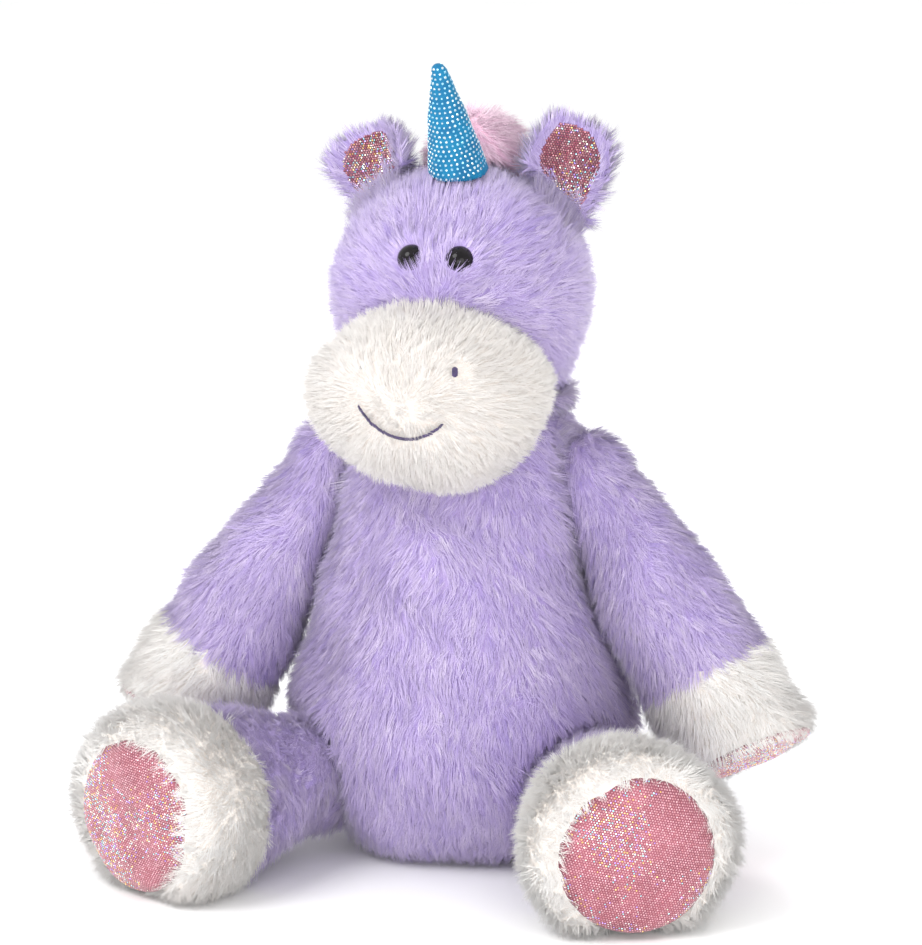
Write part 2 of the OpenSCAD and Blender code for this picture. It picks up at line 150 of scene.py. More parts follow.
def mottled(made, scale, dark, light, bump=0.0, bump_scale=None):
    """Gives a material a noise-mixed colour in the object's own space, and a fine bump."""
    tree = made.node_tree
    shader = tree.nodes["Principled BSDF"]
    where = node_of(made, "ShaderNodeTexCoord")
    noise = node_of(made, "ShaderNodeTexNoise", Scale=scale, Detail=4.0, Roughness=0.6)
    ramp = node_of(made, "ShaderNodeValToRGB")
    ramp.color_ramp.elements[0].position = 0.35
    ramp.color_ramp.elements[1].position = 0.65
    ramp.color_ramp.elements[0].color = (*dark, 1)
    ramp.color_ramp.elements[1].color = (*light, 1)
    tree.links.new(where.outputs["Object"], noise.inputs["Vector"])
    tree.links.new(noise.outputs["Fac"], ramp.inputs["Fac"])
    tree.links.new(ramp.outputs["Color"], shader.inputs["Base Color"])
    if bump:
        grain = node_of(made, "ShaderNodeTexNoise", Scale=bump_scale or scale * 6, Detail=2.0)
        lift = node_of(made, "ShaderNodeBump", Strength=bump, Distance=0.0006)
        tree.links.new(where.outputs["Object"], grain.inputs["Vector"])
        tree.links.new(grain.outputs["Fac"], lift.inputs["Height"])
        tree.links.new(lift.outputs["Normal"], shader.inputs["Normal"])
    return made


def shaded_backing(name, dark, light):
    """The knitted backing that shows between the locks of pile, in colours darker than the pile's: painted
    shade for the gaps between the locks.
    """
    made = principled(name, Roughness=0.95, Sheen_Weight=0.5, Sheen_Roughness=0.5)
    return mottled(made, 90, dark, light, bump=0.7, bump_scale=900)


def pile(name, colour):
    """One shade of plush pile."""
    return principled(name, Base_Color=colour, Roughness=0.7, Specular_IOR_Level=0.25,
                      Sheen_Weight=0.35, Sheen_Roughness=0.45)


def shades(name, *colours):
    """Several shades of one pile, from the deepest to the palest."""
    return [pile(f"{name}_{i}", c) for i, c in enumerate(colours)]


def foil(name, colour, roughness=0.25):
    """One tint of the shiny printed dots."""
    return principled(name, Base_Color=colour, Metallic=0.95, Roughness=roughness)


# each backing is darker than its pile: painted shade in the gaps between the locks
LILAC_BACK = shaded_backing("lilac_backing", (0.34, 0.26, 0.54), (0.44, 0.34, 0.62))
IVORY_BACK = shaded_backing("ivory_backing", (0.82, 0.75, 0.69), (0.88, 0.82, 0.77))
# the muzzle's backing is darker still: painted shade that tones down the brightly lit muzzle
SHADED_IVORY_BACK = shaded_backing("muzzle_backing", (0.68, 0.61, 0.56), (0.75, 0.69, 0.64))
PINK_BACK = shaded_backing("pink_backing", (0.80, 0.46, 0.60), (0.86, 0.56, 0.68))
LILAC = shades("lilac_pile", (0.39, 0.30, 0.65), (0.47, 0.37, 0.70), (0.55, 0.45, 0.75),
               (0.63, 0.53, 0.79), (0.72, 0.63, 0.84))
# the cuffs' and feet's ivory pile is made paler: painted light that offsets the shadow round the feet
IVORY = shades("ivory_pile", (0.88, 0.83, 0.79), (0.90, 0.86, 0.83), (0.92, 0.89, 0.86),
               (0.94, 0.92, 0.90), (0.96, 0.95, 0.93))
# the muzzle's pile is a darker copy of the ivory pile: painted shade that tones down the brightly lit muzzle
SHADED_IVORY = shades("muzzle_pile", (0.74, 0.69, 0.64), (0.77, 0.73, 0.69), (0.80, 0.76, 0.73),
              (0.82, 0.79, 0.76), (0.85, 0.82, 0.80))
PINK = shades("pink_pile", (0.88, 0.52, 0.70), (0.91, 0.58, 0.75), (0.93, 0.64, 0.79),
              (0.95, 0.69, 0.82), (0.96, 0.74, 0.85))
SATIN = mottled(principled("rose_satin", Metallic=0.35, Roughness=0.42, Sheen_Weight=0.3),
                70, (0.24, 0.06, 0.09), (0.36, 0.10, 0.14), bump=0.5, bump_scale=1500)
# in each list the first three tints are the foil's own; the later, brighter ones show only in the glint
# patches, as painted sparkle
DOTS = [foil("dot_rose", (0.66, 0.36, 0.41), 0.38), foil("dot_pink", (0.76, 0.46, 0.50), 0.32),
        foil("dot_copper", (0.58, 0.28, 0.31), 0.35), foil("dot_pearl", (0.97, 0.90, 0.92), 0.2),
        foil("dot_gold", (1.0, 0.72, 0.28), 0.2), foil("dot_aqua", (0.48, 0.90, 0.95), 0.2),
        foil("dot_violet", (0.62, 0.45, 1.0), 0.2), foil("dot_cream", (1.0, 0.95, 0.80), 0.2)]
EAR_DOTS = [foil("dot_wine", (0.44, 0.14, 0.20), 0.35), DOTS[2], DOTS[0]] + DOTS[3:]
HORN_CLOTH = mottled(principled("blue_horn_cloth", Roughness=0.6, Specular_IOR_Level=0.3),
                     120, (0.0, 0.115, 0.26), (0.002, 0.18, 0.35), bump=0.5, bump_scale=1400)
HORN_DOTS = [foil("horn_dot_silver", (0.48, 0.64, 0.73)), foil("horn_dot_white", (0.66, 0.79, 0.84)),
             foil("horn_dot_sky", (0.28, 0.55, 0.73))]
THREAD = mottled(principled("purple_thread", Roughness=0.5, Sheen_Weight=0.4),
                 400, (0.020, 0.010, 0.055), (0.055, 0.030, 0.120), bump=0.4, bump_scale=2500)
EYE_BLACK = mottled(principled("eye_black", Roughness=0.05, Specular_IOR_Level=0.22),
                    300, (0.004, 0.003, 0.004), (0.010, 0.008, 0.010))
WASHER_WHITE = mottled(principled("washer_white", Roughness=0.55), 200, (0.70, 0.70, 0.68),
                       (0.82, 0.82, 0.80), bump=0.2, bump_scale=900)

# ---------------------------------------------------------------- skins

SWELL = -2.2  # the inset in millimetres of a skin that stands out from its filling
SKIN_FLOOR = 0.8 * MM  # the lowest that a skin reaches


def lumps(co, size, seed):
    """Smooth noise from -1 to 1 at points, its bumps about size across."""
    rng = np.random.default_rng(seed)
    waves = unit(rng.normal(size=(7, 3))) * 2 * math.pi / size * rng.uniform(0.6, 1.3, (7, 1))
    return np.sin(co @ waves.T + rng.uniform(0, 7, 7)).sum(1) / 4


def vertices_of(obj):
    """A mesh object's vertices and their normals, as arrays."""
    count = len(obj.data.vertices)
    co, normal = np.zeros(count * 3), np.zeros(count * 3)
    obj.data.vertices.foreach_get("co", co)
    obj.data.vertices.foreach_get("normal", normal)
    return co.reshape(-1, 3), normal.reshape(-1, 3)


def move_to(obj, co):
    """Puts a mesh object's vertices at new places."""
    obj.data.vertices.foreach_set("co", co.ravel())
    obj.data.update()


def new_object(name, mesh, *materials):
    """An object in the scene for a mesh, smoothly shaded."""
    made = bpy.data.objects.new(name, mesh)
    bpy.context.scene.collection.objects.link(made)
    for m in materials:
        mesh.materials.append(m)
    if len(mesh.polygons):
        mesh.polygons.foreach_set("use_smooth", [True] * len(mesh.polygons))
    return made


def filled(name, nodes, material, voxel=2.5, soften=6, inset=0.0, rough=1.2, lump=24, seed=1, keep=None):
    """One closed, softened skin round CAD nodes, set inward and made uneven.

    voxel, inset, rough and lump are in millimetres. keep(co) is 0 where the skin stays put.
    """
    meshes = [frame["nodes"][n].data for n in nodes]
    co = np.concatenate([points(n) for n in nodes])
    faces, start = [], 0
    for mesh in meshes:
        faces += [[start + v for v in p.vertices] for p in mesh.polygons]
        start += len(mesh.vertices)
    joined = bpy.data.meshes.new(name)
    joined.from_pydata(co.tolist(), [], faces)
    made = new_object(name, joined)
    remesh = made.modifiers.new("union", "REMESH")
    remesh.mode = "VOXEL"
    remesh.voxel_size = voxel * MM
    smooth = made.modifiers.new("soften", "SMOOTH")
    smooth.iterations = soften
    smooth.factor = 0.5
    depsgraph = bpy.context.evaluated_depsgraph_get()
    skin = bpy.data.meshes.new_from_object(made.evaluated_get(depsgraph))
    made.modifiers.clear()
    made.data = skin
    bpy.data.meshes.remove(joined)
    skin.name = name
    skin.materials.clear()
    skin.materials.append(material)
    skin.polygons.foreach_set("use_smooth", [True] * len(skin.polygons))
    co, normal = vertices_of(made)
    amount = rough * lumps(co, lump * MM, seed) - inset
    if keep is not None:
        amount = amount * keep(co)
    co = co + normal * (amount * MM)[:, None]
    co[:, 2] = np.maximum(co[:, 2], SKIN_FLOOR)
    move_to(made, co)
    return made


def press(obj, line, depth, width):
    """Draws a skin in along a line of points, as stitching does. depth and width are in millimetres."""
    co, normal = vertices_of(obj)
    near = KDTree(len(line))
    for i, p in enumerate(line):
        near.insert(p, i)
    near.balance()
    gap = np.array([near.find(c)[2] for c in co])
    pull = depth * MM * bell(gap, width * MM)
    move_to(obj, co - normal * pull[:, None])


def finished(obj, body, slot, *nodes, fill=None):
    """Puts a piece on its body, and hides the nodes that it stands for. The material slot is not used.

    The fill is not used.
    """
    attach(obj, body)
    if nodes:
        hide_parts(*nodes)
    return obj


# ---------------------------------------------------------------- pile

PILE_FLOOR = 0.5 * MM  # the lowest that a strand's tip reaches
ROOT_DEPTH = 0.6 * MM  # how far a strand starts below its skin
SHORTEST = 1.2 * MM  # strands that would be shorter are left out
STRAND_CORNERS = (0.5, 2.6, 4.7)  # the angles of a strand's three edges


def scattered(skin, per_mm2, seed):
    """Random points all over a skin, per_mm2 of them on each square millimetre, with their normals."""
    mesh = skin.data
    mesh.calc_loop_triangles()
    corners = np.zeros(len(mesh.loop_triangles) * 3, int)
    mesh.loop_triangles.foreach_get("vertices", corners)
    corners = corners.reshape(-1, 3)
    co, normal = vertices_of(skin)
    a, b, c = (co[corners[:, i]] for i in range(3))
    area = np.linalg.norm(np.cross(b - a, c - a), axis=1) / 2
    rng = np.random.default_rng(seed)
    pick = rng.choice(len(area), int(area.sum() * 1e6 * per_mm2), p=area / area.sum())
    u, v = rng.random(len(pick)), rng.random(len(pick))
    flip = u + v > 1
    u, v = np.where(flip, 1 - u, u), np.where(flip, 1 - v, v)
    share = np.stack([1 - u - v, u, v], 1)[:, :, None]
    where = (co[corners[pick]] * share).sum(1)
    return where, unit((normal[corners[pick]] * share).sum(1))


def nearest_lock(roots, per_lock, rng):
    """Which lock each strand belongs to: the index of the strand that leads it."""
    leaders = rng.choice(len(roots), max(1, len(roots) // per_lock), replace=False)
    tree = KDTree(len(leaders))
    for i in leaders:
        tree.insert(roots[i], int(i))
    tree.balance()
    return np.array([tree.find(r)[1] for r in roots])


def mesh_from(name, co, loops, sizes, materials, tints, smooth=True):
    """An object from flat arrays: vertices, every face's corners in turn, and each face's corner count."""
    mesh = bpy.data.meshes.new(name)
    mesh.vertices.add(len(co))
    mesh.vertices.foreach_set("co", co.ravel())
    mesh.loops.add(len(loops))
    mesh.loops.foreach_set("vertex_index", loops)
    mesh.polygons.add(len(sizes))
    mesh.polygons.foreach_set("loop_start", np.concatenate([[0], np.cumsum(sizes)[:-1]]))
    mesh.polygons.foreach_set("material_index", tints)
    mesh.update(calc_edges=True)
    made = new_object(name, mesh, *materials)
    mesh.polygons.foreach_set("use_smooth", [smooth] * len(sizes))
    return made


def strand_mesh(name, root, tip, normal, width, shade, materials):
    """A mesh of closed slender spikes, softly shaded: their normals lean towards the skin's."""
    count = len(root)
    along = unit(tip - root)
    side = unit(np.cross(along, normal + 1e-4))
    over = np.cross(side, along)
    ring = [side * math.cos(t) + over * math.sin(t) for t in STRAND_CORNERS]
    co = np.stack([*[root + r * width[:, None] for r in ring], tip], 1).reshape(-1, 3)
    corners = np.array([0, 1, 2, 1, 0, 3, 2, 1, 3, 0, 2, 3])
    loops = ((np.arange(count) * 4)[:, None] + corners).ravel()
    made = mesh_from(name, co, loops, np.full(count * 4, 3), materials, np.repeat(shade, 4))
    lean_out, lean_along = 0.55, 0.35
    soft = np.stack([*[unit(normal + r * lean_out) for r in ring], unit(normal + along * lean_along)], 1)
    made.data.normals_split_custom_set_from_vertices(soft.reshape(-1, 3))
    return made


def comb_out(root, normal, comb, length, seed, stand=0.45, stray=0.25, per_lock=9, pull=0.30):
    """Where each strand ends. Locks share a direction and draw together at their tips."""
    rng = np.random.default_rng(seed)
    lead = nearest_lock(root, per_lock, rng)
    swirl = np.stack([lumps(root, 30 * MM, seed + i) for i in range(3)], 1) * 0.40
    wander = rng.normal(size=root.shape) * stray
    flow = comb + swirl + wander[lead] + rng.normal(size=root.shape) * stray * 0.5
    flow = unit(flow - normal * (flow * normal).sum(1, keepdims=True))
    rise = stand + rng.normal(size=len(root)) * 0.08 + wander[lead, 0] * 0.35
    rise = np.clip(rise, 0.15, 0.95)[:, None]
    size = length * (1 + rng.normal(size=len(root)) * 0.14) * (1 + wander[lead, 1] * 0.4)
    tip = root + unit(normal * rise + flow * (1 - rise * rise) ** 0.5) * size[:, None]
    return tip + (tip[lead] - tip) * pull, lead


def shade_of(lead, root, count, seed):
    """A pile shade for each strand: alike within a lock, drifting slowly over the toy."""
    rng = np.random.default_rng(seed + 77)
    tone = rng.normal(size=len(root))
    drift = lumps(root, 45 * MM, seed + 5)
    level = (count - 1) / 2 + 0.2 + tone[lead] * 0.6 + tone * 0.4 + drift * 0.5
    return np.clip(np.rint(level), 0, count - 1).astype(int)


def fur(name, skin, body, slot, materials, comb, nodes=(), per_mm2=2.1, length=8.5, width=0.17,
        where=None, length_at=None, seed=1, **style):
    """Pile rooted all over a skin, or where(co, normal) is true. length and width are in millimetres.

    comb(co, normal) is the way the pile lies, and length_at(co, normal) scales its length.
    """
    root, normal = scattered(skin, per_mm2, seed)
    if where is not None:
        chosen = where(root, normal)
        root, normal = root[chosen], normal[chosen]
    size = np.full(len(root), length * MM)
    if length_at is not None:
        size = size * length_at(root, normal)
        grown = size > SHORTEST
        root, normal, size = root[grown], normal[grown], size[grown]
    tip, lead = comb_out(root, normal, comb(root, normal), size, seed, **style)
    thick = width * MM * np.random.default_rng(seed + 9).uniform(0.7, 1.25, len(root))
    shade = shade_of(lead, root, len(materials), seed)
    tip[:, 2] = np.maximum(tip[:, 2], PILE_FLOOR)
    made = strand_mesh(name, root - normal * ROOT_DEPTH, tip, normal, thick, shade, materials)
    return finished(made, body, slot, *nodes)


def along(direction, spread=0.0, centre=None):
    """Combs the pile in one direction, or also outward from a centre."""
    def flow(co, normal):
        out = unit(co - centre) * spread if centre is not None else 0
        return np.tile(unit(direction), (len(co), 1)) + out
    return flow


# ---------------------------------------------------------------- torso

BELLY_TOP = 0.098  # the front's pile is two pieces, parted here to keep each one's face count low
BELLY_Z, BELLY_REACH = 0.052, 0.034
COLLAR_Z, COLLAR_REACH = 0.172, 0.018
BACK_SEAM_HEIGHTS = np.arange(0.074, 0.127, 0.002)


def make_torso():
    """The torso's stuffed skin and the pile of its three panels."""
    skin = filled("torso_skin", ["torso_stuffing", "seat_bean_bag"], LILAC_BACK, voxel=3, inset=SWELL,
                  rough=1.8, lump=45)
    finished(skin, "torso", "filling", "torso_stuffing", "seat_bean_bag", fill=0.7)
    co = vertices_of(skin)[0]
    belly = bell(co[:, 2] - BELLY_Z, BELLY_REACH)
    collar = bell(co[:, 2] - COLLAR_Z, COLLAR_REACH) * (np.abs(co[:, 0]) / 0.045)
    aside = np.clip(co[:, 0] / 0.065, -1, 1)
    settle = np.where(aside < 0, 5.5, 4.0)
    co[:, 0] += (settle * belly + 4.0 * collar) * aside * MM
    move_to(skin, co)
    seam_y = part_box("back_closing_seam")[1].y
    press(skin, np.array([[0, seam_y, z] for z in BACK_SEAM_HEIGHTS]), depth=2.0, width=3.5)

    def down(co, normal):
        out = np.zeros((len(co), 3))
        for one in SIDES:
            shoulder = joint_at("shoulder_" + one)
            out[:, 0] += np.sign(shoulder[0]) * bell(distance(co, shoulder), 0.030) * 1.6
        return out - UP

    def groove(co, normal):
        return 1 - 0.5 * bell(co[:, 0], 0.0025) * (co[:, 1] > PANEL_Y)

    panels = {
        "torso_front": lambda co, n: (co[:, 1] <= PANEL_Y) & (co[:, 2] > BELLY_TOP),
        "torso_back_left": lambda co, n: (co[:, 1] > PANEL_Y) & (co[:, 0] > 0),
        "torso_back_right": lambda co, n: (co[:, 1] > PANEL_Y) & (co[:, 0] <= 0),
        "torso_belly": lambda co, n: (co[:, 1] <= PANEL_Y) & (co[:, 2] <= BELLY_TOP),
    }
    for i, (name, where) in enumerate(panels.items()):
        nodes = [] if name == "torso_belly" else [name + "_panel"]
        fur(name + "_pile", skin, "torso", "lilac_plush", LILAC, down, nodes=nodes,
            where=where, length=7.6, length_at=groove, seed=10 + i, per_mm2=1.8)
    for i, side in enumerate(SIDES):
        shoulder = joint_at("shoulder_" + side)
        over = np.array([np.sign(shoulder[0]), 0, -0.35])

        def cap(co, normal, at=shoulder):
            return (distance(co, at) < 27 * MM) & (co[:, 2] > at[2] - 8 * MM)

        fur(f"shoulder_{side}_tuft", skin, "torso", "lilac_plush", LILAC, along(over), length=12,
            per_mm2=2.4, where=cap, seed=16 + i, stand=0.5)
    return skin


def tube_between(name, ends, radius, material, sides=8):
    """Short round-ended stitches, one from each start to each end point."""
    # how far along the stitch each ring is, and its share of the radius
    rings = [(-0.6, 0.45), (0, 0.85), (0.5, 1.0), (1, 0.85), (1.6, 0.45)]
    co, faces = [], []
    for start, end in ends:
        start, end = np.array(start), np.array(end)
        axis = unit(end - start)
        across = unit(np.cross(axis, [0.3, 0.5, 0.8]))
        over = np.cross(axis, across)
        span = np.linalg.norm(end - start)
        first = len(co)
        for t, r in rings:
            place = start + axis * (min(max(t, 0), 1) * span + (t - min(max(t, 0), 1)) * radius)
            for k in range(sides):
                a = 2 * math.pi * k / sides
                co.append(place + (across * math.cos(a) + over * math.sin(a)) * radius * r)
        for ring in range(len(rings) - 1):
            for k in range(sides):
                low, high = first + ring * sides, first + (ring + 1) * sides
                faces.append([low + k, low + (k + 1) % sides, high + (k + 1) % sides, high + k])
        faces.append([first + k for k in reversed(range(sides))])
        last = first + (len(rings) - 1) * sides
        faces.append([last + k for k in range(sides)])
    mesh = bpy.data.meshes.new(name)
    mesh.from_pydata([list(c) for c in co], [], faces)
    return new_object(name, mesh, material)


def surface_of(*objs):
    """Something that finds the nearest place on mesh objects."""
    co, faces, start = [], [], 0
    for obj in objs:
        co += [v.co[:] for v in obj.data.vertices]
        faces += [[start + v for v in p.vertices] for p in obj.data.polygons]
        start = len(co)
    return BVHTree.FromPolygons(co, faces)


def make_back_seam(torso):
    """Hand stitches that close the back, drawn into the pile."""
    low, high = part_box("back_closing_seam")
    surface = surface_of(torso)
    ends = []
    spacing, half, slope, proud = 5.2 * MM, 2.6 * MM, 0.3 * MM, 2.2
    for z in np.arange(low.z, high.z, spacing):
        pair = []
        for side in (-1, 1):
            target = Vector((side * half, high.y + 0.02, z + side * slope))
            place, normal = surface.find_nearest(target)[:2]
            pair.append(np.array(place + normal * proud * MM))
        ends.append(pair)
    stitches = tube_between("back_closing_stitches", ends, 0.55 * MM, THREAD)
    finished(stitches, "torso", "purple_thread", "back_closing_seam")


def make_neck():
    """The gathered cloth at the neck seam and its pile."""
    skin = filled("neck_skin", ["neck_seam"], LILAC_BACK, voxel=1.0, soften=2, inset=0.9, rough=0.5,
                  lump=9)
    finished(skin, "neck", "purple_thread", "neck_seam", fill=0.5)
    down_and_out = along((0, 0, -0.6), 0.9, HEAD * np.array([1, 1, 0.9]))
    fur("neck_pile", skin, "neck", "lilac_plush", LILAC, down_and_out, length=8.0, stand=0.4,
        per_mm2=3.6, seed=20, pull=0.2)


# ---------------------------------------------------------------- head

SMILE_SHORTER = 0.70  # the smile's share that is sewn on the toy's left
SMILE_CLEAR = 3.6 * MM  # the pile is short this close to the smile, and round the nostril
NOSTRIL_CLEAR = 3.8 * MM
THREAD_R = 0.36 * MM
EYE_CLEAR = 5.6 * MM  # no pile is rooted this close to an eye's middle


def smile_line(count=40):
    """Points along the middle of the embroidered smile."""
    low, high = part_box("smile")
    half = (high.x - low.x) / 2
    height = high.z - low.z
    radius = (half * half + height * height) / (2 * height)
    reach = math.asin(half / radius)
    angles = np.linspace(-reach, reach * SMILE_SHORTER, count)
    x = radius * np.sin(angles)
    y = np.full(count, (low.y + high.y) / 2)
    return np.stack([x, y, low.z + radius * (1 - np.cos(angles))], 1)


def beside(co, line):
    """How far points are from a line of points."""
    return np.min(np.linalg.norm(co[:, None, :] - line[None, :, :], axis=2), axis=1)


def make_head():
    """The head's stuffed skin and the pile of its three panels."""
    skin = filled("head_skin", ["head_stuffing"], LILAC_BACK, voxel=2.5, inset=SWELL, rough=1.4, lump=40,
                  seed=3)
    finished(skin, "head", "filling", "head_stuffing", fill=0.8)
    brow = HEAD + np.array([0, -1.15, -0.15]) * HEAD_R
    eyes = np.array([EYES[s] for s in SIDES])
    eye_places = HEAD + unit(eyes - HEAD) * HEAD_R
    co, normal = vertices_of(skin)
    rim = bell(beside(co, eye_places) - 7 * MM, 2.6 * MM)
    move_to(skin, co + normal * (2.6 * MM * rim)[:, None])
    neck_z = middle("neck_seam")[2]

    def round_eyes(co, normal):
        gap = beside(co, eye_places)
        low = 0.25 * clamp((neck_z + 14 * MM - co[:, 2]) / (10 * MM))
        return (0.70 + 0.30 * clamp((gap - 4 * MM) / (5 * MM))) * (gap > EYE_CLEAR) + low

    def from_face(co, normal):
        off_eyes = sum(unit(co - e) * bell(distance(co, e), 0.010)[:, None] for e in eyes)
        drop = clamp((HEAD[2] - co[:, 2]) / HEAD_R)[:, None]
        return unit(co - brow) - UP * 1.2 * drop + 0.9 * off_eyes

    panels = {
        "head_face": lambda co, n: co[:, 1] <= HEAD_PANEL_Y,
        "head_back_left": lambda co, n: (co[:, 1] > HEAD_PANEL_Y) & (co[:, 0] > 0),
        "head_back_right": lambda co, n: (co[:, 1] > HEAD_PANEL_Y) & (co[:, 0] <= 0),
    }
    for i, (name, where) in enumerate(panels.items()):
        fur(name + "_pile", skin, "head", "lilac_plush", LILAC, from_face, nodes=[name + "_panel"],
            where=where, length=7.4, length_at=round_eyes, seed=30 + i, stand=0.4)
    for i, side in enumerate(SIDES):
        root = joint_at(f"ear_{side}_fold")
        rise = unit(middle("ear_back_" + side) - root)
        fur(f"ear_{side}_root_tuft", skin, "head", "lilac_plush", LILAC, along(rise, 0.5, root),
            length=10.5, per_mm2=2.4, where=lambda co, n, root=root: distance(co, root) < 17 * MM,
            seed=36 + i, stand=0.82)


def make_muzzle():
    """The muzzle's stuffed skin, drawn in at the smile, and its ivory pile."""
    skin = filled("muzzle_skin", ["muzzle_cover", "muzzle_stuffing"], SHADED_IVORY_BACK, voxel=2, inset=2.2,
                  rough=2.0, lump=36, seed=5, keep=lambda co: off_head(co, 6.5, 6))
    co = vertices_of(skin)[0]
    above = clamp((co[:, 2] - MUZZLE[2]) / (30 * MM))
    co[:, 2] -= 4.5 * MM * above ** 2
    co[:, 0] *= 1 + 0.03 * off_head(co, 6.5, 6)
    move_to(skin, co)
    smile = smile_line()
    press(skin, smile, depth=1.8, width=5)
    finished(skin, "head", "filling", "muzzle_stuffing", fill=0.8)
    spots = middle("nostril_left")[None]
    nose = MUZZLE + np.array([0, -0.045, 0.006])

    def shorter(co, normal):
        line = clamp((beside(co, smile) - SMILE_CLEAR) / (4 * MM))
        spot = clamp((beside(co, spots) - NOSTRIL_CLEAR) / (3 * MM))
        return 0.22 + 0.78 * np.minimum(line, spot)

    def flow(co, normal):
        near = np.argmin(np.linalg.norm(co[:, None] - smile[None], axis=2), axis=1)
        gap = co - smile[near]
        push = unit(gap) * bell(np.linalg.norm(gap, axis=1), 0.007)[:, None]
        return unit(co - nose) + 2.2 * push

    fur("muzzle_pile", skin, "head", "ivory_plush", SHADED_IVORY, flow, nodes=["muzzle_cover"], length=6.4,
        length_at=shorter, per_mm2=2.45, seed=40, stand=0.45, stray=0.22, pull=0.3)
    return skin


def make_smile(muzzle):
    """Satin stitches side by side along the smile."""
    line = smile_line(60)
    surface = surface_of(muzzle)
    ends = []
    for i in range(1, len(line) - 1):
        run = unit(line[i + 1] - line[i - 1])
        place, normal = surface.find_nearest(Vector(line[i]))[:2]
        place, normal = np.array(place), np.array(normal)
        across = unit(np.cross(run, normal))
        taper = 1 - 0.5 * abs(2 * i / (len(line) - 1) - 1) ** 4
        reach = (across * 0.55 + run * 0.5) * MM * taper
        centre = place + normal * 2.6 * MM
        ends.append((centre - reach, centre + reach))
    stitches = tube_between("smile_stitches", ends, THREAD_R, THREAD, sides=6)
    finished(stitches, "head", "purple_thread", "smile")


def make_nostril(side, muzzle):
    """One nostril of upright satin stitches. The toy's right one is drawn into the pile."""
    spot = middle("nostril_" + side)
    place, normal = surface_of(muzzle).find_nearest(Vector(spot))[:2]
    place, normal = np.array(place), np.array(normal)
    upright = unit(UP - normal * normal[2])
    across = np.cross(upright, normal)
    ends = []
    proud = 2.9 if side == "left" else -0.32
    spacing = 0.42
    for k in range(-2, 3):
        half = 1.9 * MM * math.sqrt(1 - (k / 3) ** 2)
        centre = place + normal * proud * MM + across * k * spacing * MM
        ends.append((centre - upright * half, centre + upright * half))
    stitches = tube_between(f"nostril_{side}_stitches", ends, THREAD_R, THREAD, sides=6)
    finished(stitches, "head", "purple_thread", "nostril_" + side)


def turned(name, profile, centre, axis, material, sides=48):
    """A closed turned piece. profile holds (radius, height) pairs from the axis's bottom to its top."""
    axis = unit(axis)
    across = unit(np.cross(axis, [0.3, 0.9, 0.1]))
    over = np.cross(axis, across)
    co = [np.array(centre) + axis * profile[0][1]]
    for radius, height in profile[1:-1]:
        for k in range(sides):
            a = 2 * math.pi * k / sides
            co.append(centre + axis * height + (across * math.cos(a) + over * math.sin(a)) * radius)
    co.append(np.array(centre) + axis * profile[-1][1])
    faces = [[0, 1 + (k + 1) % sides, 1 + k] for k in range(sides)]
    rows = len(profile) - 2
    for row in range(rows - 1):
        low, high = 1 + row * sides, 1 + (row + 1) * sides
        faces += [[low + k, low + (k + 1) % sides, high + (k + 1) % sides, high + k] for k in range(sides)]
    top = 1 + (rows - 1) * sides
    faces += [[top + k, top + (k + 1) % sides, len(co) - 1] for k in range(sides)]
    mesh = bpy.data.meshes.new(name)
    mesh.from_pydata([list(c) for c in co], [], faces)
    return new_object(name, mesh, material)


def make_eye(side):
    """A glossy safety eye: a dome with a rim, on its shank."""
    eye = points("eye_" + side)
    axis = unit(EYES[side] - HEAD)
    top = ((eye - HEAD) @ axis).max()
    bottom = ((eye - HEAD) @ axis).min()
    dome_r = np.linalg.norm(np.cross(eye - HEAD, axis), axis=1).max()
    shank_r = dome_r * 0.33
    dome_at = top - dome_r
    rim = dome_at - 0.7 * MM
    profile = [(0, bottom), (shank_r, bottom), (shank_r, rim), (dome_r * 0.97, rim)]
    profile += [(dome_r * math.cos(a), dome_at + dome_r * math.sin(a)) for a in np.linspace(0, 1.45, 14)]
    made = turned(f"eye_{side}_dome", profile + [(0, top)], HEAD, axis, EYE_BLACK)
    finished(made, "head", "black_eye", "eye_" + side)


def make_horn():
    """The horn's puffed cone with its printed silver dots."""
    skin = filled("horn_skin", ["horn_cover", "horn_stuffing"], HORN_CLOTH, voxel=1.0, soften=3,
                  rough=0.25, lump=12)
    finished(skin, "head", "blue_foil", "horn_cover", "horn_stuffing", fill=0.9)
    centre, axis = long_axis("horn_stuffing")
    across = unit(np.cross(axis, [0, 1, 0]))
    over = np.cross(axis, across)
    surface = surface_of(skin)
    reach = (points("horn_cover") - centre) @ axis
    row_gap, dot_gap = 1.9 * MM, 2.2 * MM
    places = []
    for row, height in enumerate(np.arange(reach.min() + 3 * MM, reach.max() - 1.5 * MM, row_gap)):
        inside = centre + axis * height
        hit = surface.ray_cast(Vector(inside), Vector(across))
        if hit[0] is None:
            continue
        count = max(4, round(2 * math.pi * hit[3] / dot_gap))
        for k in range(count):
            a = 2 * math.pi * (k + row % 2 / 2) / count
            out = across * math.cos(a) + over * math.sin(a)
            place, normal = surface.ray_cast(Vector(inside), Vector(out))[:2]
            if place is not None:
                places.append((np.array(place), np.array(normal)))
    finished(dot_field("horn_dots", places, 0.76, 0.2, HORN_DOTS, 50, 4), "head", "blue_foil")


